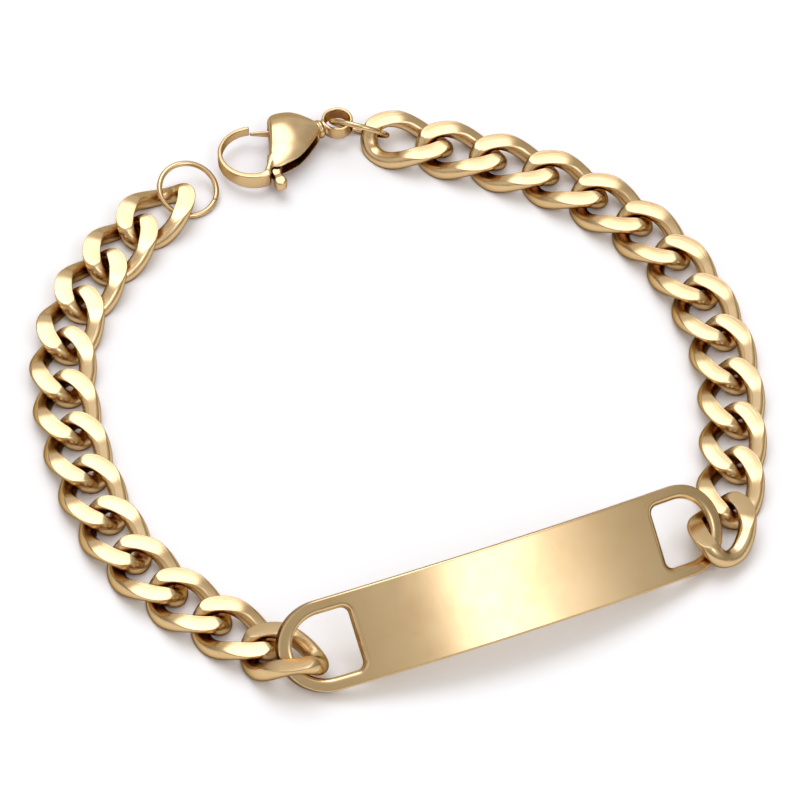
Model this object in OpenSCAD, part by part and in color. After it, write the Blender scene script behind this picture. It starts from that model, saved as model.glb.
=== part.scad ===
// Identification bracelet, unfastened and lying on a flat surface.
// A bowed oval plate joins two runs of filed curb chain. The left run ends in
// a large jump ring, the right run in a small lobster clasp on its own ring.
// Millimetres. +Z is up, the surface is z = 0 and the plate's long axis is X.

/* [Curb chain] */
// Wire diameter of a link
link_wire = 1.6; // [1.4:0.05:1.65]
// Outer width of a link across the chain
link_width = 6.0; // [5.8:0.1:6.4]
// Half the length of a link's centre line
link_reach = 3.5; // [3.4:0.05:3.6]
// How far the twist lifts the centre line above and below the middle
link_rise = 0.95; // [0.9:0.05:1.0]
// Height of a link after its two broad faces are filed flat
link_height = 2.15; // [2.1:0.05:2.4]
// Inward curl of the long sides towards the ends, in degrees for each millimetre
link_curl = 8.5; // [0:0.5:10]
// Distance from one link's centre to the next
link_pitch = 5.07; // [5.0:0.01:5.15]
// Links on each side of the plate
links_each_side = 13; // [13]

/* [Plate] */
// Width of the plate
plate_width = 8.0; // [7.6:0.1:8.4]
// Thickness of the plate
plate_thickness = 1.1; // [1.0:0.05:1.15]
// Half the plate's length along its bow
plate_half_length = 21.3; // [21:0.1:21.6]
// Radius of the bow of the outer face
plate_bow_radius = 48; // [44:1:60]
// Roll of the plate about its long axis as it lies on its lower edge
plate_roll = 40.5; // [38:0.5:43]
// Distance along the bow from the middle to the straight edge of a slot
slot_inner_edge = 14.3; // [13.8:0.1:14.6]
// Metal left beside and beyond a slot
slot_wall = 1.2; // [1.1:0.05:1.2]
// Corner radius at the straight edge of a slot
slot_corner = 0.7; // [0.5:0.05:0.9]

/* [Jump rings] */
// Outer diameter of both jump rings
ring_outer = 5.7; // [5.6:0.05:5.8]
// Wire diameter of both jump rings
ring_wire = 0.5; // [0.4:0.05:0.5]
// Tilt of the large ring on the left run, which leans on the last link
catch_ring_tilt = 20; // [19:0.5:21]
// Tilt of the ring that carries the clasp
clasp_ring_tilt = 53; // [52.5:0.5:53.5]

/* [Clasp] */
// Thickness of the clasp's domed body
clasp_thickness = 3.0; // [2.8:0.1:3.2]
// Radius of the body's rounded outline
clasp_body_radius = 2.85; // [2.7:0.05:2.95]
// Radius of the two domes that close the body above and below
clasp_dome_radius = 10; // [9:0.5:12]
// Inner radius of the hook
hook_inner_radius = 2.88; // [2.8:0.02:2.9]
// Height of the hook's band at its root
hook_root_height = 1.6; // [1.5:0.1:1.7]
// Height of the hook's band at its tip
hook_tip_height = 0.9; // [0.8:0.1:1.0]
// Thickness of the lever
lever_thickness = 0.8; // [0.7:0.05:0.85]
// Free height above and below the lever in its slot
lever_clearance = 0.15; // [0.12:0.01:0.2]
// Diameter of the lever's pivot pin
pin_diameter = 1.0; // [0.8:0.1:1.1]

/* [Hidden] */
$fn = 96;
all_round = 360;
gold = [0.86, 0.70, 0.42];
pale_gold = [0.93, 0.82, 0.58];

// Layout: every place below is measured from here, then shifted so that the
// middle of the whole bracelet's box is at x = 0, y = 0.
layout_shift = [0.27, -1.48, 0];

// Chain runs as they lie: the first link's centre, then each link's heading
left_start = [-20.5, -23.9];
left_headings = [129, 124, 118, 109, 95, 87, 82, 78, 68, 55, 41, 34, 26];
right_start = [19.87, -25.46];
right_headings = [56, 62, 65, 70, 78, 87, 94, 107, 118, 126, 137, 140, 144];

// The first link of a run rides on the plate's end bar, so it is lifted and
// tilted: its centre, then its turns about x, y and z
left_end_place = [-20.87, -24.15, 1.83];
left_end_turn = [2.4, 14.2, 124.6];
right_end_place = [19.64, -25.54, 1.66];
right_end_turn = [0, 9.8, 56.3];

link_rings = 16;
link_half_width = (link_width - link_wire) / 2;
link_half_height = link_height / 2;
wire_flat = cos(30);

plate_centre = [-0.9, -28.1];
plate_seat = 0.15;
shell_facets = 720;
plate_inner_radius = plate_bow_radius - plate_thickness;
plate_end_radius = plate_width / 2;
plate_reach = plate_bow_radius * sin(plate_half_length / plate_bow_radius * 180 / PI);
plate_end_centre = plate_reach - plate_end_radius;
slot_start = plate_bow_radius * sin(slot_inner_edge / plate_bow_radius * 180 / PI);
slot_radius = plate_end_radius - slot_wall;

ring_radius = (ring_outer - ring_wire) / 2;
catch_ring_place = [-8.5, 29.5];
catch_ring_lean = -80;
catch_ring_height = ring_radius * sin(catch_ring_tilt) + ring_wire / 2;
clasp_ring_place = [8.21, 29.525];
clasp_ring_lean = 49.5;
clasp_ring_height = ring_radius * sin(clasp_ring_tilt) + ring_wire / 2;

// The clasp has its own frame: x runs from the hook to the eye, z = 0 is the
// middle of its thickness, and the pivot and the hook are placed in it.
clasp_place = [0, 31.0];
clasp_turn = 4.4;
clasp_half = clasp_thickness / 2;
dome_centre = [1.2, -0.3];
body_centre = [1.9, 0.1];
pivot = [1.3, 0];
hook_centre = [-1.63, -0.04];
hook_back_centre = [-1.6, -0.17];
hook_outer_radius = 3.3;
hook_tip_angle = 74;
hook_root_angle = 272;
eye_centre = [6.92, 0.04];
eye_height = 1.2;
eye_radius = 1.43;
eye_bore_radius = 1.13;
neck_radius = 0.72;
collar_radius = 0.86;
slot_half_height = lever_thickness / 2 + lever_clearance;
pin_radius = pin_diameter / 2;
pin_play = 0.05;
pin_seat = 0.02;
pin_length = 2.3;
gate_width = 0.42;
tab_width = 0.95;
far = 20;

function two_digits(n) = n < 10 ? str("0", n) : str(n);
function link_name(side, n) = str(side, "_link_", two_digits(n));
function unit(v) = v / norm(v);

// Link: a twisted oval of round wire with its high and low parts filed flat

// A point of the centre line, turn in degrees round the oval
function link_centre(turn) =
    let (x = link_reach * cos(turn))
    [x, link_half_width * sin(turn) * cos(link_curl * x), -link_rise * sin(2 * turn)];

// Half height of the wire on one side of the centre line, cut by the filed face
function filed(height_left, slope) =
    min(wire_flat * link_wire / 2, height_left / slope);

// Six corners of the wire's section: two at its sides, two above and two below
function wire_section(turn) =
    let (
        step = 0.5,
        middle = link_centre(turn),
        along = unit(link_centre(turn + step) - link_centre(turn - step)),
        side = unit(cross(along, [0, 0, 1])),
        up = cross(side, along),
        radius = link_wire / 2,
        above = filed(link_half_height - middle[2], up[2]),
        below = filed(link_half_height + middle[2], up[2]),
        above_side = sqrt(radius * radius - above * above),
        below_side = sqrt(radius * radius - below * below)
    )
    [
        middle + radius * side,
        middle + above_side * side + above * up,
        middle - above_side * side + above * up,
        middle - radius * side,
        middle - below_side * side - below * up,
        middle + below_side * side - below * up
    ];

module link_shape() {
    sides = 6;
    points = [
        for (i = [0 : link_rings - 1])
            each wire_section(all_round * (i + 0.5) / link_rings)
    ];
    faces = [
        for (i = [0 : link_rings - 1], j = [0 : sides - 1])
            let (
                next_ring = (i + 1) % link_rings,
                next_side = (j + 1) % sides,
                a = i * sides + j,
                b = i * sides + next_side,
                c = next_ring * sides + next_side,
                d = next_ring * sides + j
            )
            each [[a, b, c], [a, c, d]]
    ];
    polyhedron(points = points, faces = faces);
}

// Centre of link n in a run: each step goes half way between two headings
function link_place(start, headings, n) =
    n == 0 ? start :
    let (heading = (headings[n - 1] + headings[n]) / 2)
    link_place(start, headings, n - 1) + link_pitch * [cos(heading), sin(heading)];

module posed_link(place, turn) {
    color(gold)
        translate(layout_shift)
            translate(place)
                rotate(turn)
                    link_shape();
}

module chain_link(start, headings, n) {
    place = link_place(start, headings, n - 1);
    posed_link([place[0], place[1], link_half_height], [0, 0, headings[n - 1]]);
}

module left_link(n) {
    if (n == 1) posed_link(left_end_place, left_end_turn);
    else chain_link(left_start, left_headings, n);
}

module right_link(n) {
    if (n == 1) posed_link(right_end_place, right_end_turn);
    else chain_link(right_start, right_headings, n);
}

// Plate: a strip of a wide tube, cut to an oval outline with two D slots

module slot_outline() {
    translate([plate_end_centre, 0]) circle(r = slot_radius);
    translate([slot_start + slot_corner, -slot_radius])
        square([plate_end_centre - slot_start - slot_corner, 2 * slot_radius]);
    translate([slot_start, slot_corner - slot_radius])
        square([slot_corner * 1.5, 2 * (slot_radius - slot_corner)]);
    for (side = [-1, 1])
        translate([slot_start + slot_corner, side * (slot_radius - slot_corner)])
            circle(r = slot_corner);
}

module plate_outline() {
    difference() {
        union() {
            square([2 * plate_end_centre, plate_width], center = true);
            for (side = [-1, 1])
                translate([side * plate_end_centre, 0]) circle(r = plate_end_radius);
        }
        slot_outline();
        mirror([1, 0]) slot_outline();
    }
}

module plate_shell() {
    translate([0, 0, -plate_bow_radius])
        rotate([90, 0, 0])
            difference() {
                cylinder(r = plate_bow_radius, h = 2 * plate_width, center = true, $fn = shell_facets);
                cylinder(r = plate_inner_radius, h = 3 * plate_width, center = true, $fn = shell_facets);
            }
}

// Height of the inner face's outline point at an angle round the lower end
function plate_low_point(angle) =
    let (
        x = plate_end_centre + plate_end_radius * sin(angle),
        y = -plate_end_radius * cos(angle),
        drop = sqrt(plate_inner_radius * plate_inner_radius - x * x) - plate_bow_radius
    )
    y * sin(plate_roll) + drop * cos(plate_roll);

plate_lift = plate_seat - min([for (angle = [0 : 1 : 90]) plate_low_point(angle)]);

module id_plate() {
    color(pale_gold)
        translate(layout_shift)
            translate([plate_centre[0], plate_centre[1], plate_lift])
                rotate([plate_roll, 0, 0])
                    intersection() {
                        plate_shell();
                        translate([0, 0, -far / 2]) linear_extrude(far) plate_outline();
                    }
}

// Jump rings

module jump_ring(place, height, tilt, lean) {
    color(gold)
        translate(layout_shift)
            translate([place[0], place[1], height])
                rotate([0, tilt, lean])
                    rotate_extrude()
                        translate([ring_radius, 0]) circle(r = ring_wire / 2, $fn = 32);
}

module catch_ring() {
    jump_ring(catch_ring_place, catch_ring_height, catch_ring_tilt, catch_ring_lean);
}

module clasp_ring() {
    jump_ring(clasp_ring_place, clasp_ring_height, clasp_ring_tilt, clasp_ring_lean);
}

// Lobster clasp

module clasp_frame() {
    translate(layout_shift)
        translate([clasp_place[0], clasp_place[1], clasp_half])
            rotate([0, 0, clasp_turn])
                children();
}

module slab(height) {
    translate([0, 0, -height / 2]) linear_extrude(height) children();
}

// Teardrop outline of the body, from the hook's root to the neck
module body_outline() {
    difference() {
        union() {
            translate(body_centre) circle(r = clasp_body_radius);
            polygon([[-2.2, -3.1], [-1.5, -3.3], [0.4, -2.95], [2.2, -2.6], [1.5, 0], [-0.6, -0.6]]);
            polygon([[2.9, -2.5], [4.4, -1.1], [5.3, -0.55], [5.3, 0.6], [4.4, 1.6], [3.4, 2.4]]);
        }
        mouth_cut();
    }
}

// The body's left side is hollowed by the round opening of the hook
module mouth_cut() {
    cut_radius = 12.9;
    translate([-11.39, 6.06]) circle(r = cut_radius);
}

module domed_body() {
    intersection() {
        slab(clasp_thickness) body_outline();
        for (side = [-1, 1])
            translate([dome_centre[0], dome_centre[1], side * (clasp_half - clasp_dome_radius)])
                sphere(r = clasp_dome_radius, $fn = 180);
    }
}

// Room for the lever: open to the left for the gate arm and below for the tab
module lever_room() {
    slab(2 * slot_half_height)
        polygon([
            [-1.45, -5.0], [-1.45, -2.9], [-0.55, -1.4], [-0.35, -0.7], [-2.0, -0.4],
            [-2.0, 2.15], [1.3, 2.15], [2.6, 1.7], [3.3, 0.6], [4.0, -0.5], [5.5, -2.0], [5.5, -5.0]
        ]);
}

// The hook's band: two round walls, thin towards the tip and lower there too
module hook_band() {
    band_reach = 6;
    tip_y = hook_inner_radius;
    intersection() {
        difference() {
            translate(hook_back_centre)
                cylinder(r = hook_outer_radius, h = clasp_thickness, center = true);
            translate(hook_centre)
                cylinder(r = hook_inner_radius, h = far, center = true);
        }
        translate(hook_centre)
            slab(far)
                polygon([
                    [0, 0],
                    band_reach * [cos(hook_root_angle), sin(hook_root_angle)],
                    [-band_reach, -band_reach],
                    [-band_reach, band_reach],
                    band_reach * [cos(hook_tip_angle), sin(hook_tip_angle)]
                ]);
        translate([-far / 2, 0, 0])
            rotate([90, 0, 90])
                linear_extrude(far)
                    polygon([
                        [-tip_y - 1, -hook_root_height / 2],
                        [tip_y + 1, -hook_tip_height / 2],
                        [tip_y + 1, hook_tip_height / 2],
                        [-tip_y - 1, hook_root_height / 2]
                    ]);
    }
}

// Solid corner that carries the hook beside the slot
module hook_root() {
    slab(hook_root_height)
        polygon([[-2.0, -3.0], [-1.4, -3.3], [-1.2, -2.9], [-0.2, -1.4], [-0.7, -1.1], [-1.25, -2.1]]);
}

module eye_and_neck() {
    difference() {
        union() {
            translate(eye_centre) cylinder(r = eye_radius, h = eye_height, center = true);
            translate([4.4, 0.1, 0])
                rotate([0, 90, 0])
                    cylinder(r = neck_radius, h = eye_centre[0] - eye_radius - 4.2);
            translate([5.0, 0.1, 0])
                rotate([0, 90, 0])
                    cylinder(r = collar_radius, h = 0.4);
        }
        translate(eye_centre) cylinder(r = eye_bore_radius, h = far, center = true);
    }
}

module clasp_body() {
    color(gold)
        clasp_frame()
            difference() {
                union() {
                    domed_body();
                    hook_band();
                    hook_root();
                    eye_and_neck();
                }
                lever_room();
                translate(pivot)
                    cylinder(r = pin_radius + pin_seat, h = pin_length + 2 * pin_play, center = true);
            }
}

// A straight arm of even width with a slightly larger round end at its second point
module arm(start, end, width) {
    along = end - start;
    round_end = width + 0.05;
    translate(start)
        rotate(atan2(along[1], along[0]))
            translate([0, -width / 2])
                square([norm(along), width]);
    translate(end) circle(d = round_end);
}

module lever_outline() {
    hub_radius = 1.05;
    elbow = [1.0, 1.55];
    gate_tip = [-0.74, 2.36];
    tab_bend = [-0.75, -2.9];
    tab_end = [-0.95, -4.4];
    difference() {
        union() {
            translate(pivot) circle(r = hub_radius);
            arm(pivot, elbow, gate_width);
            arm(elbow, gate_tip, gate_width);
            arm(pivot, tab_bend, tab_width);
            arm(tab_bend, tab_end, tab_width);
        }
        translate(pivot) circle(r = pin_radius + pin_play);
    }
}

module clasp_lever() {
    color(pale_gold)
        clasp_frame()
            slab(lever_thickness) lever_outline();
}

module lever_pin() {
    color("silver")
        clasp_frame()
            translate(pivot)
                cylinder(r = pin_radius, h = pin_length, center = true);
}

id_plate();
for (n = [1 : links_each_side]) {
    left_link(n);
    right_link(n);
}
catch_ring();
clasp_ring();
clasp_body();
clasp_lever();
lever_pin();
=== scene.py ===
import math

import bpy
import numpy as np
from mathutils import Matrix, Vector
from mathutils.geometry import delaunay_2d_cdt


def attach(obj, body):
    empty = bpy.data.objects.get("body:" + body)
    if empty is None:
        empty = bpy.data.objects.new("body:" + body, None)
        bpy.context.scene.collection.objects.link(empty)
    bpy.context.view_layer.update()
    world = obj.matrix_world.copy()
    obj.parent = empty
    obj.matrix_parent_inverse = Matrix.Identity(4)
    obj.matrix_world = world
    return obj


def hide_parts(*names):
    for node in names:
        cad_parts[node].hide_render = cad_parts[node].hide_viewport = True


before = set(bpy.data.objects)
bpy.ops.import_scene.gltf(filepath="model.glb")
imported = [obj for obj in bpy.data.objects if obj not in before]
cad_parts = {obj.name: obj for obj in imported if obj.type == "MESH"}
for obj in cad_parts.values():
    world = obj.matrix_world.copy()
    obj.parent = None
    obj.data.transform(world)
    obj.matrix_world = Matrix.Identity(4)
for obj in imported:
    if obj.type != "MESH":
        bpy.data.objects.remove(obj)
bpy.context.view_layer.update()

# Sizes and places are in millimetres, and a mesh is scaled to metres when it is made
MM = 0.001
FULL_TURN = 2 * math.pi

# Chain links. The arms draw in by LINK_CURL, in radians for each millimetre from the middle
LINK_WIRE = 1.6
LINK_WIDTH = 6.0
LINK_REACH = 3.5
LINK_RISE = 0.95
LINK_HEIGHT = 2.15
LINK_CURL = math.radians(8.5)
# The highest that a filed face lies over the wire's middle, in radii of the wire, and how
# much lower that is on the arms. The blends ease a face into that limit, at bend and arm
LINK_TOP_ROUND = 0.97
LINK_ARM_FLAT = 0.05
LINK_FACE_BLEND = (0.1, 0.5)
# A filed face rises by FACET_CROWN towards its middle, and its edges are softened
FACET_CROWN = 0.035
FACET_SOFT_EDGE = 0.03
# How far the polishing marks move round and along the wire from one link to the next
STREAK_STEP = (0.37, 1.73)

# Name plate: an oval strip of a wide tube, with a D-shaped slot at each end
PLATE_WIDTH = 8.0
PLATE_THICKNESS = 1.1
PLATE_HALF_LENGTH = 21.3
PLATE_BOW_RADIUS = 48.0
PLATE_ROLL = math.radians(40.5)
PLATE_ROUND_EDGE = 0.2
PLATE_NET = 0.5
PLATE_END_RADIUS = PLATE_WIDTH / 2
PLATE_REACH = PLATE_BOW_RADIUS * math.sin(PLATE_HALF_LENGTH / PLATE_BOW_RADIUS)
PLATE_END_CENTRE = PLATE_REACH - PLATE_END_RADIUS
SLOT_INNER_EDGE = 14.3
SLOT_WALL = 1.2
SLOT_CORNER = 0.7
SLOT_ROUND_EDGE = 0.5
SLOT_START = PLATE_BOW_RADIUS * math.sin(SLOT_INNER_EDGE / PLATE_BOW_RADIUS)

# Jump rings: the wire is thinner where the seam's two ends meet
RING_OUTER = 5.7
RING_WIRE = 0.5
SEAM_HALF_GAP = 0.02
SEAM_THINNING = 0.82

# The layout. Each run of chain: its first centre, the heading of each link, and the pose of
# the first link, which rides on the plate's end bar: centre, then turns about x, y and z
LAYOUT_SHIFT = np.array([0.27, -1.48, 0.0])
LINK_PITCH = 5.07
LEFT_HEADINGS = (129, 124, 118, 109, 95, 87, 82, 78, 68, 55, 41, 34, 26)
RIGHT_HEADINGS = (56, 62, 65, 70, 78, 87, 94, 107, 118, 126, 137, 140, 144)
CHAIN_RUNS = (
    ("left", (-20.5, -23.9), LEFT_HEADINGS, ((-20.87, -24.15, 1.83), (2.4, 14.2, 124.6))),
    ("right", (19.87, -25.46), RIGHT_HEADINGS, ((19.64, -25.54, 1.66), (0, 9.8, 56.3))),
)
PLATE_PLACE = np.array([-0.9, -28.1, 0.0])
PLATE_SEAT = 0.15
# Each ring: its centre, then in degrees its tilt, the way it leans and the place of its seam
JUMP_RINGS = (
    ("catch_ring", (-8.5, 29.5), 20, -80, 40),
    ("clasp_ring", (8.21, 29.525), 53, 49.5, 100),
)

# Clasp, in its own frame: x runs from the hook to the eye and z = 0 is its middle plane.
# A circle is its centre and its radius
CLASP_THICKNESS = 3.0
CLASP_PLACE = np.array([0, 31.0, CLASP_THICKNESS / 2])
CLASP_TURN = 4.4
CLASP_PIVOT = (1.3, 0)
CLASP_NET = 0.06
CLASP_BODY_BOX = ((-5.1, -3.9, -1.65), (9.0, 3.4, 1.66))
CLASP_LEVER_BOX = ((-1.7, -5.1, -0.64), (2.6, 2.8, 0.66))

# Domed body: its outline in plan, and the puffed lobes that it swells to. Each lobe is its
# centre, its reach along x, up y and down y, and its height
BODY_CIRCLE = ((1.85, 0.2), 3.0)
BODY_HOLLOW = ((-11.39, 6.06), 12.9)
BODY_NECK = [(2.9, -2.55), (4.3, -1.2), (5.1, -0.65), (5.1, 0.85), (4.3, 1.75), (3.2, 2.7)]
BODY_ROOT = [(-2.2, -3.1), (-1.5, -3.3), (0.4, -3.0), (2.2, -2.7), (1.5, 0), (-0.6, -0.6)]
BODY_LOBES = (
    ((1.75, 0.95), (3.15, 2.5, 3.65), CLASP_THICKNESS / 2),
    ((3.7, 0.2), (1.75, 1.4, 1.4), 0.9),
    ((0.1, -1.9), (2.0, 1.5, 1.5), 0.85),
)
LOBE_FULLNESS = 1.8

# Hook: a band between two circles, from its tip round to its root. It is lower at its tip
HOOK_OUTSIDE = ((-1.6, -0.17), 3.3)
HOOK_INSIDE = ((-1.63, -0.04), 2.82)
HOOK_TIP = math.radians(71.5)
HOOK_ROOT = math.radians(272)
HOOK_HALF_HEIGHT = 0.625
HOOK_SLOPE = 0.0451
HOOK_CORNER = [(-2.0, -3.0), (-1.4, -3.3), (-1.2, -2.9), (-0.2, -1.4), (-0.7, -1.1), (-1.25, -2.1)]
HOOK_CORNER_HALF_HEIGHT = 0.8

# Eye, with the neck and the collar that join it to the body. Neck and collar: the middle
# and the half length along x, and the radius
EYE_OUTSIDE = ((6.92, 0.04), 1.43)
EYE_BORE = ((6.92, 0.04), 1.11)
EYE_HALF_HEIGHT = 0.64
NECK = (5.0, 0.65, 0.7)
COLLAR = (5.2, 0.17, 0.86)
NECK_OFFSET = 0.1

# Room in the body for the lever and its pin
LEVER_ROOM = [
    (-1.45, -5.0), (-1.45, -2.9), (-0.55, -1.4), (-0.35, -0.7), (-2.0, -0.4), (-2.0, 2.15),
    (1.3, 2.15), (2.6, 1.7), (3.3, 0.6), (4.0, -0.5), (5.5, -2.0), (5.5, -5.0),
]
LEVER_ROOM_HALF_HEIGHT = 0.55
PIN_BORE = (CLASP_PIVOT, 0.52)
PIN_BORE_HALF_LENGTH = 1.2

# Lever: hub, gate arm and thumb tab. The gate thins towards its tip in width and in height,
# and the tab ends in a knob that swells over a short stretch
LEVER_THICKNESS = 0.8
HUB = (CLASP_PIVOT, 1.05)
HUB_BORE = (CLASP_PIVOT, 0.55)
GATE_ELBOW = (1.0, 1.55)
GATE_TIP = (-0.66, 2.34)
GATE_WIDTH = 0.42
GATE_WIDTH_LOSS = 0.1
GATE_HEIGHT_LOSS = 0.2
TAB_BEND = (-0.75, -2.9)
TAB_END = (-0.95, -4.33)
TAB_ROOT_WIDTH = 0.95
TAB_END_WIDTH = 0.9
TAB_KNOB = ((-0.9, -4.22), 0.56)
KNOB_START = -3.4
KNOB_STRETCH = 0.5
KNOB_SWELL = 0.12

# Light: the tent's strength at the floor and overhead, then each large soft light:
# its direction, the radii in degrees where it is full and where it ends, its strength
TENT_LOW = 0.21
TENT_HIGH = 0.52
TENT_COLOUR = (1.0, 0.98, 0.94, 1)
SOFT_LIGHT_COLOUR = (0.96, 1.0, 1.2, 1)
SOFT_LIGHTS = (
    ((0.02, 0.43, 0.90), 12, 30, 2.65),
    ((0.0, -0.1, 0.99), 8, 38, 0.4),
    ((0.35, 0.93, 0.08), 10, 45, 0.35),
    ((0.17, -0.667, 0.723), 0, 14, 2.3),
    ((0.30, -0.648, 0.70), 1, 23, 0.75),
    ((0.25, -0.657, 0.71), 12, 50, 0.19),
    ((-0.9, 0.0, 0.42), 8, 40, 0.35),
)

# Floor and camera, in metres and degrees. The focal length is in widths of the sensor,
# whose own width is in millimetres
FLOOR_HALF = 1.5
CAMERA_DISTANCE = 0.6734
CAMERA_ELEVATION = 49.53
CAMERA_AZIMUTH = -22.5
CAMERA_FOCAL_WIDTHS = 9.527
SENSOR_WIDTH = 36

# Colours. A metal drifts between its light and its deep tone
GOLD_TONES = ((0.725, 0.52, 0.27), (0.675, 0.465, 0.225))
STEEL_TONES = ((0.56, 0.55, 0.53), (0.44, 0.43, 0.41))
EDGE_TINT = (0.3, 0.22, 0.14, 1)
# Painted shade: the red-brown that crevices, gaps between parts and undersides near the floor are
# darkened towards
CREVICE_SHADE_COLOUR = (0.5, 0.24, 0.11, 1)
NO_SHADE_COLOUR = (1, 1, 1, 1)
FLOOR_COLOUR = (0.97, 0.95, 0.885, 1)

# Finishes: roughness and the strength of the polishing marks
LINKS_FINISH = (0.22, 0.7)
PLATE_FINISH = (0.23, 0.15)
RING_FINISH = (0.18, 0.2)
CLASP_FINISH = (0.25, 0.08)
PIN_FINISH = (0.3, 0.4)
# Least and most roughness, as shares of a finish's own
GLOSS_RANGE = (0.9, 1.15)
# How closely the marks lie: round and along a link's wire, and for each metre elsewhere.
# Their depth and the reach of the painted crevice shade are in metres
WIRE_MARKS_SCALE = (34, 5, 1)
MARKS_SCALE = (600, 9000, 9000)
MARKS_TURN = (0.3, 0.2, 0.6)
MARKS_DEPTH = 0.00002
CREVICE_REACH = 0.0009
# The clasp's longer reach paints shade deep into the slot that holds the lever
CLASP_CREVICE_REACH = 0.003

# Places of a Mix node's colour sockets, which share their names with its other sockets
MIX_A, MIX_B, MIX_RESULT = 6, 7, 2


# Mesh building

def new_object(name, points, faces, normals=None):
    """A smooth object from points in millimetres and faces as index lists."""
    mesh = bpy.data.meshes.new(name)
    mesh.from_pydata((np.asarray(points) * MM).tolist(), [], [list(map(int, f)) for f in faces])
    mesh.polygons.foreach_set("use_smooth", [True] * len(mesh.polygons))
    mesh.validate()
    mesh.update()
    if normals is not None:
        mesh.normals_split_custom_set_from_vertices(np.asarray(normals).tolist())
    piece = bpy.data.objects.new(name, mesh)
    bpy.context.scene.collection.objects.link(piece)
    return piece


def finish_piece(piece, material, body, node):
    """Gives a piece its material and puts it in the place of a CAD node."""
    piece.data.materials.clear()
    piece.data.materials.append(material)
    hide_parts(node)
    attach(piece, body)


def tube_faces(rings, rows):
    """Quads of a tube that closes on itself both ways."""
    faces = []
    for i in range(rings):
        for j in range(rows):
            next_i = (i + 1) % rings
            next_j = (j + 1) % rows
            faces.append((i * rows + j, next_i * rows + j, next_i * rows + next_j, i * rows + next_j))
    return faces


def unit(vectors):
    return vectors / np.linalg.norm(vectors, axis=-1, keepdims=True)


def turned(points, turn):
    """Points turned about x, then y, then z, in degrees."""
    for axis, angle in enumerate(np.radians(turn)):
        first, second = (axis + 1) % 3, (axis + 2) % 3
        spin = np.eye(3)
        spin[first, first] = spin[second, second] = math.cos(angle)
        spin[first, second], spin[second, first] = -math.sin(angle), math.sin(angle)
        points = points @ spin.T
    return points


# Chain links

def link_centre_line(turn):
    """Places along the middle of a link's wire, for angles round the link."""
    x = LINK_REACH * np.cos(turn)
    half_width = (LINK_WIDTH - LINK_WIRE) / 2
    y = half_width * np.sin(turn) * np.cos(LINK_CURL * x)
    z = -LINK_RISE * np.sin(2 * turn)
    return np.stack([x, y, z], -1)


def round_side(side, low, high, steps=8):
    """(sideways, upwards) corners along one round side of the wire, between two angles."""
    radius = LINK_WIRE / 2
    angles = [low + (high - low) * k / steps for k in range(steps + 1)]
    return [(side * radius * math.cos(a), radius * math.sin(a)) for a in angles]


def filed_face(side, height):
    """(sideways, upwards) corners across one crowned face, close together at its edges."""
    radius = LINK_WIRE / 2
    half = math.sqrt(radius ** 2 - height ** 2)
    soft = min(FACET_SOFT_EDGE, half / 6)
    crown = FACET_CROWN * min(half / radius, 1)
    corners = []
    for place in (half - soft, half - 3 * soft, half / 4, -half / 4, 3 * soft - half, soft - half):
        sunk = crown * (place / half) ** 2
        corners.append((side * place, height - sunk if height > 0 else height + sunk))
    return corners


def filed_section(above, below):
    """One ring's corners: two round sides and two filed faces, above and below the middle."""
    radius = LINK_WIRE / 2
    soft_angle = FACET_SOFT_EDGE / radius
    low = soft_angle - math.asin(below / radius)
    high = math.asin(above / radius) - soft_angle
    return (
        round_side(1, low, high) + filed_face(1, above)
        + round_side(-1, high, low) + filed_face(-1, -below)
    )


def soft_least(a, b, blend):
    """The smaller of two numbers, eased over where they are nearly the same."""
    near = max(blend - abs(a - b), 0) / blend
    return min(a, b) - near ** 2 * blend / 4


def link_mesh(rings=96):
    """Points, faces and texture places of one link in its own frame."""
    radius = LINK_WIRE / 2
    half_height = LINK_HEIGHT / 2
    turn = np.arange(rings) * FULL_TURN / rings
    step = 0.01
    middle = link_centre_line(turn)
    along = unit(link_centre_line(turn + step) - link_centre_line(turn - step))
    side = unit(np.cross(along, [0.0, 0.0, 1.0]))
    up = np.cross(side, along)
    points = []
    bend_blend, arm_blend = LINK_FACE_BLEND
    for k in range(rings):
        arm = math.sin(turn[k]) ** 2
        limit = radius * (LINK_TOP_ROUND - LINK_ARM_FLAT * arm)
        blend = bend_blend + (arm_blend - bend_blend) * arm
        above = soft_least(limit, (half_height - middle[k, 2]) / up[k, 2], blend)
        below = soft_least(limit, (half_height + middle[k, 2]) / up[k, 2], blend)
        section = filed_section(above, below)
        points += [middle[k] + s * side[k] + u * up[k] for s, u in section]
    rows = len(section)
    places = [(j / rows, i / rings) for i in range(rings) for j in range(rows)]
    return np.array(points), tube_faces(rings, rows), places


def lay_streaks(piece, places, offset):
    """Texture places that run round and along a wire, so that a pattern can follow it."""
    layer = piece.data.uv_layers.new(name="along")
    corners = np.empty(len(piece.data.loops), int)
    piece.data.loops.foreach_get("vertex_index", corners)
    spread = np.array(places)[corners] + offset * np.array(STREAK_STEP)
    layer.data.foreach_set("uv", spread.ravel())


def run_poses(start, headings):
    """Centre and turn of every link in a run that lies flat."""
    poses = []
    place = np.array([*start, LINK_HEIGHT / 2])
    for n, heading in enumerate(headings):
        if n:
            way = math.radians((headings[n - 1] + heading) / 2)
            place = place + LINK_PITCH * np.array([math.cos(way), math.sin(way), 0])
        poses.append((place, (0, 0, heading)))
    return poses


def make_links(material):
    """Both runs of chain. A tilted end link is flat where it would sink into the surface."""
    points, faces, places = link_mesh()
    for side, start, headings, end_pose in CHAIN_RUNS:
        poses = run_poses(start, headings)
        poses[0] = end_pose
        for n, (place, turn) in enumerate(poses, 1):
            node = f"{side}_link_{n:02d}"
            placed = turned(points, turn) + place + LAYOUT_SHIFT
            placed[:, 2] = placed[:, 2].clip(0)
            piece = new_object("fine_" + node, placed, faces)
            lay_streaks(piece, places, n + len(side))
            finish_piece(piece, material, "bracelet", node)


# Name plate

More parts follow.
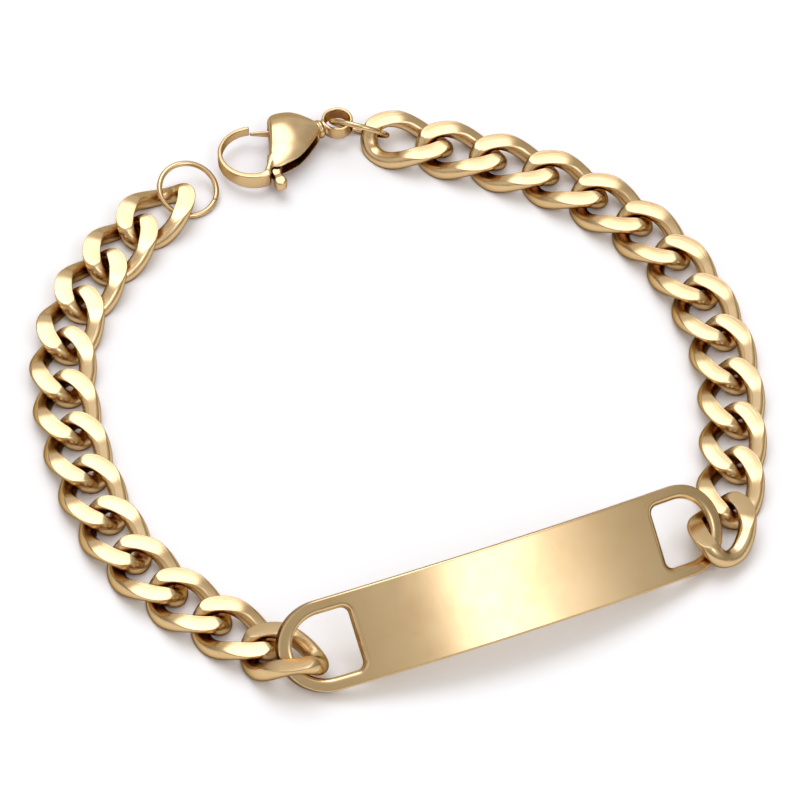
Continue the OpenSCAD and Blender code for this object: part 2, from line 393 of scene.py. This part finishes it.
def arc_points(centre, radius, start, end, steps):
    angles = np.radians(np.linspace(start, end, steps))
    return [(centre[0] + radius * math.cos(a), centre[1] + radius * math.sin(a)) for a in angles]


def straight_points(start, end, spacing):
    """Evenly spaced points between two corners, without the corners themselves."""
    count = int(math.dist(start, end) / spacing)
    return [
        tuple(np.add(start, np.subtract(end, start) * k / (count + 1)))
        for k in range(1, count + 1)
    ]


def plate_outline(inset):
    """The plate's outer edge, drawn in by inset."""
    spacing = 0.6
    radius = PLATE_END_RADIUS - inset
    right = arc_points((PLATE_END_CENTRE, 0), radius, -90, 90, steps=49)
    left = arc_points((-PLATE_END_CENTRE, 0), radius, 90, 270, steps=49)
    top = straight_points(right[-1], left[0], spacing)
    bottom = straight_points(left[-1], right[0], spacing)
    return right + top + left + bottom


def slot_outline(inset, side):
    """One slot's edge, widened by inset. side is 1 at the right end and -1 at the left."""
    spacing = 0.4
    radius = PLATE_END_RADIUS - SLOT_WALL
    corner = SLOT_CORNER
    inner = SLOT_START + corner
    outer = arc_points((PLATE_END_CENTRE, 0), radius + inset, -90, 90, steps=41)
    upper = arc_points((inner, radius - corner), corner + inset, 90, 180, steps=9)
    lower = arc_points((inner, corner - radius), corner + inset, 180, 270, steps=9)
    loop = (
        outer + straight_points(outer[-1], upper[0], spacing) + upper
        + straight_points(upper[-1], lower[0], spacing) + lower
        + straight_points(lower[-1], outer[0], spacing)
    )
    return [(side * x, y) for x, y in loop]


def edge_rows(round_edge, steps=6):
    """(inset, height, outward, upward) for each row of a rounded edge, top to bottom."""
    half = PLATE_THICKNESS / 2
    rows = []
    for k in range(steps + 1):
        angle = math.pi / 2 * (1 - k / steps)
        rows.append((
            round_edge * (1 - math.cos(angle)), half - round_edge + round_edge * math.sin(angle),
            math.cos(angle), math.sin(angle),
        ))
    return rows + [(inset, -height, out, -up) for inset, height, out, up in reversed(rows)]


def turn_of(loop):
    """1 where a closed loop runs anticlockwise seen from above, otherwise -1."""
    x, y = np.array(loop).T
    return 1 if (x * np.roll(y, -1) - y * np.roll(x, -1)).sum() > 0 else -1


def loop_normals(loop, outward):
    """Unit normals in the plane along a closed loop. outward is 1 or -1."""
    loop = np.array(loop)
    along = np.roll(loop, -1, 0) - np.roll(loop, 1, 0)
    normals = np.stack([along[:, 1], -along[:, 0]], -1)
    return unit(normals) * turn_of(loop) * outward


def plate_points():
    """The plate laid flat: points, normals and faces, before it is bowed and placed."""
    loops = [
        (plate_outline, 1, PLATE_ROUND_EDGE),
        (lambda inset: slot_outline(inset, 1), -1, SLOT_ROUND_EDGE),
        (lambda inset: slot_outline(inset, -1), -1, SLOT_ROUND_EDGE),
    ]
    points, normals, faces = [], [], []
    rims = []
    for outline, outward, round_edge in loops:
        rows = edge_rows(round_edge)
        base = len(points)
        count = len(outline(0))
        for inset, height, out, up in rows:
            loop = outline(inset)
            flat = loop_normals(loop, outward)
            points += [(x, y, height) for x, y in loop]
            normals += [(n[0] * out, n[1] * out, up) for n in flat]
        order = turn_of(outline(0)) * outward
        for i in range(len(rows) - 1):
            for j in range(count):
                a = base + i * count + j
                b = base + i * count + (j + 1) % count
                faces.append((a, a + count, b + count, b)[::order])
        rims.append((base, base + (len(rows) - 1) * count, count))
    add_broad_faces(points, normals, faces, rims)
    return np.array(points), np.array(normals), faces


def add_broad_faces(points, normals, faces, rims):
    """Fills the upper and lower faces between the rims with an even net of triangles."""
    rim_points = []
    rim_loops = []
    for top_base, _, count in rims:
        start = len(rim_points)
        rim_points += [Vector(points[top_base + j][:2]) for j in range(count)]
        rim_loops.append(list(range(start, start + count)))
    outlines = [np.array([rim_points[k] for k in loop]) for loop in rim_loops]
    places, triangles = even_net(rim_points, rim_loops, outlines)
    for face_side in (1, -1):
        start = len(points)
        points += [(p.x, p.y, face_side * PLATE_THICKNESS / 2) for p in places[len(rim_points):]]
        normals += [(0, 0, face_side)] * (len(places) - len(rim_points))
        index = [
            (top if face_side > 0 else bottom) + j
            for top, bottom, count in rims for j in range(count)
        ]
        index += range(start, len(points))
        faces += [[index[k] for k in t][::face_side] for t in triangles]


def even_net(rim_points, rim_loops, outlines):
    """Places and triangles that fill the metal between the rims. The rims' places come first."""
    clear = PLATE_NET * 0.6
    edges = [(loop[j], loop[(j + 1) % len(loop)]) for loop in rim_loops for j in range(len(loop))]
    inner = []
    for x in np.arange(-PLATE_REACH, PLATE_REACH, PLATE_NET):
        for y in np.arange(-PLATE_WIDTH / 2, PLATE_WIDTH / 2, PLATE_NET):
            place = Vector((x, y))
            nearest = min((place - p).length for p in rim_points)
            if nearest > clear and on_metal(place, outlines):
                inner.append(place)
    all_triangles, tolerance = 0, 1e-6
    net = delaunay_2d_cdt(rim_points + inner, edges, [], all_triangles, tolerance)
    places, triangles = net[0], net[2]
    filled = [
        t for t in triangles
        if on_metal(sum((places[k] for k in t), Vector((0, 0))) / 3, outlines)
    ]
    return places, filled


def on_metal(place, outlines):
    """Whether a place is inside the plate's outline and outside both slots."""
    return inside(outlines[0], place) and not any(inside(slot, place) for slot in outlines[1:])


def inside(loop, place):
    """Whether a place is inside a closed loop of points."""
    x, y = loop[:, 0], loop[:, 1]
    next_x, next_y = np.roll(x, -1), np.roll(y, -1)
    crosses = (y > place.y) != (next_y > place.y)
    with np.errstate(divide="ignore", invalid="ignore"):
        reach = x + (place.y - y) / (next_y - y) * (next_x - x)
    return bool(np.count_nonzero(crosses & (place.x < reach)) % 2)


def bow_plate(points, normals):
    """Bends the flat plate over its bow: the outer face keeps the plan of the outline."""
    drop = np.sqrt(PLATE_BOW_RADIUS ** 2 - points[:, 0] ** 2) - PLATE_BOW_RADIUS
    tilt = np.arcsin(points[:, 0] / PLATE_BOW_RADIUS)
    depth = points[:, 2] - PLATE_THICKNESS / 2
    bowed = points.copy()
    bowed[:, 2] = drop + depth / np.cos(tilt)
    leaning = normals.copy()
    leaning[:, 0] = normals[:, 0] * np.cos(tilt) + normals[:, 2] * np.sin(tilt)
    leaning[:, 2] = normals[:, 2] * np.cos(tilt) - normals[:, 0] * np.sin(tilt)
    return bowed, unit(leaning)


def plate_lift():
    """Height of the plate's frame that puts its lower corner just above the surface."""
    inner_radius = PLATE_BOW_RADIUS - PLATE_THICKNESS
    angle = np.radians(np.arange(91))
    x = PLATE_END_CENTRE + PLATE_END_RADIUS * np.sin(angle)
    y = -PLATE_END_RADIUS * np.cos(angle)
    drop = np.sqrt(inner_radius ** 2 - x ** 2) - PLATE_BOW_RADIUS
    return PLATE_SEAT - (y * math.sin(PLATE_ROLL) + drop * math.cos(PLATE_ROLL)).min()


def make_plate(material):
    points, normals, faces = plate_points()
    points, normals = bow_plate(points, normals)
    roll = (math.degrees(PLATE_ROLL), 0, 0)
    place = PLATE_PLACE + LAYOUT_SHIFT + (0, 0, plate_lift())
    piece = new_object("fine_id_plate", turned(points, roll) + place, faces, turned(normals, roll))
    finish_piece(piece, material, "bracelet", "id_plate")


# Jump rings

def make_ring(node, material, place, tilt, lean, seam):
    """A wire ring with a fine seam at an angle round it. tilt, lean and seam are in degrees."""
    wire = RING_WIRE / 2
    radius = RING_OUTER / 2 - wire
    rings, rows = 120, 20
    seam_half = SEAM_HALF_GAP / radius
    points = []
    for i in range(rings):
        turn = math.radians(seam) + seam_half + (FULL_TURN - 2 * seam_half) * i / (rings - 1)
        thin = SEAM_THINNING if i in (0, rings - 1) else 1.0
        for j in range(rows):
            angle = FULL_TURN * j / rows
            reach = radius + thin * wire * math.cos(angle)
            points.append((reach * math.cos(turn), reach * math.sin(turn), thin * wire * math.sin(angle)))
    faces = [f for f in tube_faces(rings, rows) if f[0] // rows != rings - 1]
    faces += [list(range(rows))[::-1], list(range((rings - 1) * rows, rings * rows))]
    height = radius * math.sin(math.radians(tilt)) + wire
    placed = turned(np.array(points), (0, tilt, lean)) + (*place, height) + LAYOUT_SHIFT
    piece = new_object("fine_" + node, placed, faces)
    finish_piece(piece, material, "bracelet", node)


def make_rings(material):
    for node, place, tilt, lean, seam in JUMP_RINGS:
        make_ring(node, material, place, tilt, lean, seam)


# Fields that are negative inside the metal, and ways to join them

def round_field(x, y, centre, radius):
    """Signed distance to a circle in the plane."""
    return np.hypot(x - centre[0], y - centre[1]) - radius


def polygon_field(x, y, corners):
    """Signed distance to a polygon in the plane."""
    nearest = np.full(np.broadcast(x, y).shape, np.inf)
    crossings = np.zeros(nearest.shape, int)
    for (ax, ay), (bx, by) in zip(corners, corners[1:] + corners[:1]):
        reach = ((x - ax) * (bx - ax) + (y - ay) * (by - ay)) / ((bx - ax) ** 2 + (by - ay) ** 2)
        reach = np.clip(reach, 0, 1)
        nearest = np.minimum(nearest, np.hypot(x - ax - reach * (bx - ax), y - ay - reach * (by - ay)))
        if ay != by:
            crosses = ((ay > y) != (by > y)) & (x < ax + (y - ay) / (by - ay) * (bx - ax))
            crossings += crosses
    return np.where(crossings % 2, -nearest, nearest)


def arm_field(x, y, start, end, width):
    """Signed distance to a straight arm with round ends."""
    way = np.subtract(end, start)
    reach = np.clip(((x - start[0]) * way[0] + (y - start[1]) * way[1]) / way.dot(way), 0, 1)
    return np.hypot(x - start[0] - reach * way[0], y - start[1] - reach * way[1]) - width / 2


def puffed_field(x, y, high, centre, reach, height):
    """A smooth puffed lobe. reach is along x, up y and down y."""
    reach_y = np.where(y > centre[1], reach[1], reach[2])
    spread = np.hypot((x - centre[0]) / reach[0], (y - centre[1]) / reach_y)
    size = (spread ** LOBE_FULLNESS + (high / height) ** LOBE_FULLNESS) ** (1 / LOBE_FULLNESS)
    return (size - 1) * height


def joined(a, b, blend):
    """Union of two fields with a fillet."""
    share = np.clip(0.5 + 0.5 * (b - a) / blend, 0, 1)
    return b * (1 - share) + a * share - blend * share * (1 - share)


def common(a, b, edge):
    """Intersection of two fields with a rounded edge."""
    u, v = a + edge, b + edge
    return np.hypot(np.maximum(u, 0), np.maximum(v, 0)) + np.minimum(np.maximum(u, v), 0) - edge


# Clasp: a field for each part of its casting, and one for its lever

def domed_body_field(x, y, high):
    """The puffed teardrop, hollowed on its left by the round mouth of the hook."""
    outline = joined(round_field(x, y, *BODY_CIRCLE), polygon_field(x, y, BODY_NECK), blend=0.5)
    outline = joined(outline, polygon_field(x, y, BODY_ROOT), blend=0.5)
    outline = common(outline, -round_field(x, y, *BODY_HOLLOW), edge=0.75)
    puff = puffed_field(x, y, high, *BODY_LOBES[0])
    for lobe in BODY_LOBES[1:]:
        puff = joined(puff, puffed_field(x, y, high, *lobe), blend=0.6)
    return common(outline, puff, edge=0.35)


def hook_field(x, y, high):
    """The hook's band, thin and low towards its tip, with the corner where it meets the body."""
    across, up = x - HOOK_INSIDE[0][0], y - HOOK_INSIDE[0][1]
    past_tip = across * math.sin(HOOK_TIP) - up * math.cos(HOOK_TIP)
    past_root = up * math.cos(HOOK_ROOT) - across * math.sin(HOOK_ROOT)
    band = common(round_field(x, y, *HOOK_OUTSIDE), -round_field(x, y, *HOOK_INSIDE), edge=0.08)
    band = common(band, np.minimum(past_tip, past_root), edge=0.1)
    hook = common(band, high - (HOOK_HALF_HEIGHT - HOOK_SLOPE * y), edge=0.14)
    corner = common(polygon_field(x, y, HOOK_CORNER), high - HOOK_CORNER_HALF_HEIGHT, edge=0.2)
    return joined(hook, corner, blend=0.2)


def eye_field(x, y, z):
    """The eye, with the neck and the collar that join it to the body."""
    bore = round_field(x, y, *EYE_BORE)
    eye = common(round_field(x, y, *EYE_OUTSIDE), -bore, edge=0.14)
    eye = common(eye, np.abs(z) - EYE_HALF_HEIGHT, edge=0.15)
    off_axis = np.hypot(y - NECK_OFFSET, z)
    middle, half_length, radius = NECK
    neck = np.maximum(off_axis - radius, np.abs(x - middle) - half_length)
    middle, half_length, radius = COLLAR
    collar = common(off_axis - radius, np.abs(x - middle) - half_length, edge=0.16)
    neck = common(joined(neck, collar, blend=0.12), -bore, edge=0.05)
    return joined(eye, neck, blend=0.15)


def clasp_body_field(x, y, z):
    """The whole casting, with the room for the lever and its pin cut out."""
    high = np.abs(z)
    metal = joined(domed_body_field(x, y, high), hook_field(x, y, high), blend=0.25)
    metal = joined(metal, eye_field(x, y, z), blend=0.3)
    lever_room = np.maximum(polygon_field(x, y, LEVER_ROOM), high - LEVER_ROOM_HALF_HEIGHT)
    bore = np.maximum(round_field(x, y, *PIN_BORE), high - PIN_BORE_HALF_LENGTH)
    return common(metal, -np.minimum(lever_room, bore), edge=0.06)


def clasp_lever_field(x, y, z):
    """The bell crank: hub, gate arm that thins towards the hook's tip, and thumb tab."""
    thin = np.clip((GATE_ELBOW[0] - x) / (GATE_ELBOW[0] - GATE_TIP[0]), 0, 1) * (y > 0)
    gate = np.minimum(
        arm_field(x, y, CLASP_PIVOT, GATE_ELBOW, GATE_WIDTH),
        arm_field(x, y, GATE_ELBOW, GATE_TIP, GATE_WIDTH - GATE_WIDTH_LOSS * thin),
    )
    tab = joined(
        arm_field(x, y, CLASP_PIVOT, TAB_BEND, TAB_ROOT_WIDTH),
        arm_field(x, y, TAB_BEND, TAB_END, TAB_END_WIDTH), blend=0.2,
    )
    tab = joined(tab, round_field(x, y, *TAB_KNOB), blend=0.2)
    plan = joined(joined(round_field(x, y, *HUB), gate, blend=0.1), tab, blend=0.2)
    plan = np.maximum(plan, -round_field(x, y, *HUB_BORE))
    swell = KNOB_SWELL * np.clip((KNOB_START - y) / KNOB_STRETCH, 0, 1)
    half_height = LEVER_THICKNESS / 2 - GATE_HEIGHT_LOSS * thin + swell
    return common(plan, np.abs(z) - half_height, edge=0.24)


# Nets: a field turned into a fine mesh with exact normals

def neighbours(grid, axis):
    """A grid without its last layer along an axis, and without its first."""
    near = [slice(None)] * 3
    far = [slice(None)] * 3
    near[axis], far[axis] = slice(None, -1), slice(1, None)
    return grid[tuple(near)], grid[tuple(far)]


def cell_places(grid):
    """Which cells the surface passes through, and the mean place in each where it does."""
    count = np.zeros([n - 1 for n in grid.shape])
    places = np.zeros([*count.shape, 3])
    for axis in range(3):
        a, b = neighbours(grid, axis)
        crossed = (a < 0) != (b < 0)
        share = np.where(crossed, a / np.where(crossed, a - b, 1), 0)
        others = [n for n in range(3) if n != axis]
        for offsets in ((0, 0), (0, 1), (1, 0), (1, 1)):
            part = [slice(None)] * 3
            for n, offset in zip(others, offsets):
                part[n] = slice(offset, grid.shape[n] - 1 + offset)
            hit = crossed[tuple(part)]
            count += hit
            places[..., axis] += hit * share[tuple(part)]
            for n, offset in zip(others, offsets):
                places[..., n] += hit * offset
    used = count > 0
    return used, places[used] / count[used][:, None]


def crossing_quads(metal, number):
    """A quad round each edge of the grid that the surface crosses, facing out of the metal."""
    quads = []
    for axis in range(3):
        a, b = neighbours(metal, axis)
        u, v = (axis + 1) % 3, (axis + 2) % 3
        at = np.stack(np.nonzero(a != b), -1)
        leaving = a[tuple(at.T)]
        around = []
        for du, dv in ((0, 0), (-1, 0), (-1, -1), (0, -1)):
            cell = at.copy()
            cell[:, u] += du
            cell[:, v] += dv
            around.append(number[tuple(cell.T)])
        quad = np.stack(around, -1)
        quads += [quad[leaving], quad[~leaving][:, ::-1]]
    return np.concatenate(quads)


def slope_of(field, points):
    """How fast a field grows along x, y and z at each point."""
    reach = 0.012
    slopes = []
    for axis in range(3):
        ahead, behind = points.T.copy(), points.T.copy()
        ahead[axis] += reach
        behind[axis] -= reach
        slopes.append((field(*ahead) - field(*behind)) / (2 * reach))
    return np.stack(slopes, -1)


def settled(field, points, steps=3):
    """Points moved onto the surface. The least steepness keeps a step from running away."""
    least_steepness = 0.2
    for _ in range(steps):
        slope = slope_of(field, points)
        steepness = (slope ** 2).sum(1).clip(least_steepness)
        points = points - (field(*points.T) / steepness)[:, None] * slope
    return points


def net_of(field, low, high, step):
    """Points, outward normals and quads where a field passes through zero."""
    axes = [np.arange(a, b, step) for a, b in zip(low, high)]
    grid = field(axes[0][:, None, None], axes[1][None, :, None], axes[2][None, None, :])
    used, places = cell_places(grid)
    number = np.full(used.shape, -1)
    number[used] = np.arange(used.sum())
    corner = np.stack(np.nonzero(used), -1)
    points = (corner + places) * step + [axis[0] for axis in axes]
    points = settled(field, points)
    return points, unit(slope_of(field, points)), crossing_quads(grid < 0, number)


def make_clasp_part(node, body, field, box, material):
    points, normals, faces = net_of(field, *box, CLASP_NET)
    turn = (0, 0, CLASP_TURN)
    placed = turned(points, turn) + CLASP_PLACE + LAYOUT_SHIFT
    piece = new_object("fine_" + node, placed, faces, turned(normals, turn))
    finish_piece(piece, material, body, node)


def make_clasp(material):
    make_clasp_part("clasp_body", "bracelet", clasp_body_field, CLASP_BODY_BOX, material)
    make_clasp_part("clasp_lever", "clasp_lever", clasp_lever_field, CLASP_LEVER_BOX, material)


# Materials

def add_node(tree, kind, **values):
    """A shader node with its sockets and settings given by name."""
    node = tree.nodes.new(kind)
    for key, value in values.items():
        if key in node.inputs:
            node.inputs[key].default_value = value
        else:
            setattr(node, key, value)
    return node


def mapped(tree, value, source, target, easing="LINEAR"):
    """A value carried from its source range to a target range."""
    ends = {"From Min": source[0], "From Max": source[1], "To Min": target[0], "To Max": target[1]}
    spread = add_node(tree, "ShaderNodeMapRange", interpolation_type=easing, **ends)
    tree.links.new(value, spread.inputs["Value"])
    return spread.outputs["Result"]


def drifting_tone(tree, place, tones):
    """A colour that drifts softly between a light and a deep tone."""
    light, deep = tones
    drift = add_node(tree, "ShaderNodeTexNoise", Scale=180.0, Detail=3.0, Roughness=0.55)
    tone = add_node(tree, "ShaderNodeValToRGB")
    low, high = tone.color_ramp.elements
    low.position, high.position = 0.3, 0.7
    low.color, high.color = (*deep, 1), (*light, 1)
    tree.links.new(place, drift.inputs["Vector"])
    tree.links.new(drift.outputs["Fac"], tone.inputs["Fac"])
    return tone.outputs["Color"]


def painted_crevice_shade(tree, colour, reach):
    """A colour with painted shade: darker and redder in crevices up to reach metres wide."""
    # Painted shade: ambient occlusion darkens and reddens the colour in crevices, between parts and near
    # the floor
    crevice = add_node(tree, "ShaderNodeAmbientOcclusion", samples=6, Distance=reach)
    open_air = mapped(tree, crevice.outputs["AO"], (0.15, 0.75), (0, 1), "SMOOTHSTEP")
    shade_tint = add_node(tree, "ShaderNodeMix", data_type="RGBA", blend_type="MIX")
    shade_tint.inputs[MIX_A].default_value = CREVICE_SHADE_COLOUR
    shade_tint.inputs[MIX_B].default_value = NO_SHADE_COLOUR
    tree.links.new(open_air, shade_tint.inputs["Factor"])
    deepened = add_node(tree, "ShaderNodeMix", data_type="RGBA", blend_type="MULTIPLY", Factor=1.0)
    tree.links.new(colour, deepened.inputs[MIX_A])
    tree.links.new(shade_tint.outputs[MIX_RESULT], deepened.inputs[MIX_B])
    return deepened.outputs[MIX_RESULT]


def uneven_gloss(tree, place, roughness):
    """Roughness that varies a little from place to place."""
    low, high = GLOSS_RANGE
    haze = add_node(tree, "ShaderNodeTexNoise", Scale=900.0, Detail=5.0, Roughness=0.6)
    tree.links.new(place, haze.inputs["Vector"])
    return mapped(tree, haze.outputs["Fac"], (0.3, 0.7), (low * roughness, high * roughness))


def polishing_marks(tree, texture, strength, streaks):
    """Normals with fine marks, along the wire where streaks is set and roughly along x elsewhere."""
    stretch = add_node(tree, "ShaderNodeMapping")
    if streaks:
        stretch.inputs["Scale"].default_value = WIRE_MARKS_SCALE
        tree.links.new(texture.outputs["UV"], stretch.inputs["Vector"])
    else:
        stretch.inputs["Rotation"].default_value = MARKS_TURN
        stretch.inputs["Scale"].default_value = MARKS_SCALE
        tree.links.new(texture.outputs["Object"], stretch.inputs["Vector"])
    marks = add_node(tree, "ShaderNodeTexNoise", Scale=1.0, Detail=4.0, Roughness=0.7)
    bump = add_node(tree, "ShaderNodeBump", Strength=strength, Distance=MARKS_DEPTH)
    tree.links.new(stretch.outputs["Vector"], marks.inputs["Vector"])
    tree.links.new(marks.outputs["Fac"], bump.inputs["Height"])
    return bump.outputs["Normal"]


def polished_metal(name, tones, finish, streaks=False, crevice_reach=CREVICE_REACH):
    """Polished metal: faint tone drift, painted shade in crevices, fine marks and softly uneven gloss."""
    roughness, marks_strength = finish
    material = bpy.data.materials.new(name)
    material.use_nodes = True
    tree = material.node_tree
    shader = tree.nodes["Principled BSDF"]
    shader.inputs["Metallic"].default_value = 1.0
    shader.inputs["Specular Tint"].default_value = EDGE_TINT
    texture = add_node(tree, "ShaderNodeTexCoord")
    place = texture.outputs["Object"]
    tone = drifting_tone(tree, place, tones)
    # The base colour carries painted shade in its crevices
    tree.links.new(painted_crevice_shade(tree, tone, crevice_reach), shader.inputs["Base Color"])
    tree.links.new(uneven_gloss(tree, place, roughness), shader.inputs["Roughness"])
    marks = polishing_marks(tree, texture, marks_strength, streaks)
    tree.links.new(marks, shader.inputs["Normal"])
    return material


def dress_pin(material):
    """The hidden pin keeps its CAD mesh and takes a material of its own."""
    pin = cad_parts["lever_pin"]
    pin.data.materials.clear()
    pin.data.materials.append(material)


# Stage

def floor_material():
    material = bpy.data.materials.new("pale_floor")
    material.use_nodes = True
    shader = material.node_tree.nodes["Principled BSDF"]
    shader.inputs["Roughness"].default_value = 0.9
    shader.inputs["Specular IOR Level"].default_value = 0.1
    shader.inputs["Base Color"].default_value = FLOOR_COLOUR
    return material


def make_floor():
    half = FLOOR_HALF
    mesh = bpy.data.meshes.new("floor")
    corners = [(-half, -half, 0), (half, -half, 0), (half, half, 0), (-half, half, 0)]
    mesh.from_pydata(corners, [], [(0, 1, 2, 3)])
    floor = bpy.data.objects.new("floor", mesh)
    bpy.context.scene.collection.objects.link(floor)
    mesh.materials.append(floor_material())


def world_lobe(tree, way, centre, inner, outer, strength):
    """A round soft patch of sky: full strength within inner degrees, none beyond outer."""
    align = add_node(tree, "ShaderNodeVectorMath", operation="DOT_PRODUCT")
    align.inputs[1].default_value = Vector(centre).normalized()
    tree.links.new(way, align.inputs[0])
    rim, core = math.cos(math.radians(outer)), math.cos(math.radians(inner))
    return mapped(tree, align.outputs["Value"], (rim, core), (0, strength), "SMOOTHERSTEP")


def make_light():
    """A soft studio: an even tent, darker near the floor, with large soft lights in it."""
    world = bpy.data.worlds.new("studio")
    world.use_nodes = True
    tree = world.node_tree
    way = add_node(tree, "ShaderNodeTexCoord").outputs["Generated"]
    height = add_node(tree, "ShaderNodeSeparateXYZ")
    tree.links.new(way, height.inputs["Vector"])
    tent = mapped(tree, height.outputs["Z"], (0, 0.5), (TENT_LOW, TENT_HIGH), "SMOOTHSTEP")
    lobes = [world_lobe(tree, way, *lobe) for lobe in SOFT_LIGHTS]
    total = lobes[0]
    for lobe in lobes[1:]:
        extra = add_node(tree, "ShaderNodeMath", operation="ADD")
        tree.links.new(total, extra.inputs[0])
        tree.links.new(lobe, extra.inputs[1])
        total = extra.outputs["Value"]
    tent_light = tree.nodes["Background"]
    tent_light.inputs["Color"].default_value = TENT_COLOUR
    tree.links.new(tent, tent_light.inputs["Strength"])
    soft_light = add_node(tree, "ShaderNodeBackground", Color=SOFT_LIGHT_COLOUR)
    tree.links.new(total, soft_light.inputs["Strength"])
    both = add_node(tree, "ShaderNodeAddShader")
    tree.links.new(tent_light.outputs["Background"], both.inputs[0])
    tree.links.new(soft_light.outputs["Background"], both.inputs[1])
    tree.links.new(both.outputs["Shader"], tree.nodes["World Output"].inputs["Surface"])
    bpy.context.scene.world = world


def make_camera():
    """The photograph's view: a long lens, looking down at the bracelet by about 50 degrees."""
    look_at = LAYOUT_SHIFT * MM
    elevation = math.radians(CAMERA_ELEVATION)
    azimuth = math.radians(CAMERA_AZIMUTH)
    data = bpy.data.cameras.new("camera")
    data.sensor_width = SENSOR_WIDTH
    data.lens = CAMERA_FOCAL_WIDTHS * data.sensor_width
    data.clip_start = 0.01
    camera = bpy.data.objects.new("camera", data)
    bpy.context.scene.collection.objects.link(camera)
    away = Vector((
        math.cos(elevation) * math.sin(azimuth),
        -math.cos(elevation) * math.cos(azimuth),
        math.sin(elevation),
    ))
    camera.location = Vector(look_at) + away * CAMERA_DISTANCE
    camera.rotation_euler = (-away).to_track_quat("-Z", "Y").to_euler()
    bpy.context.scene.camera = camera


bpy.context.scene.view_settings.view_transform = "Standard"
make_camera()
make_light()
make_floor()
make_links(polished_metal("links_gold", GOLD_TONES, LINKS_FINISH, streaks=True))
make_plate(polished_metal("plate_gold", GOLD_TONES, PLATE_FINISH))
make_rings(polished_metal("ring_gold", GOLD_TONES, RING_FINISH))
make_clasp(polished_metal("clasp_gold", GOLD_TONES, CLASP_FINISH, crevice_reach=CLASP_CREVICE_REACH))
dress_pin(polished_metal("pin_steel", STEEL_TONES, PIN_FINISH))
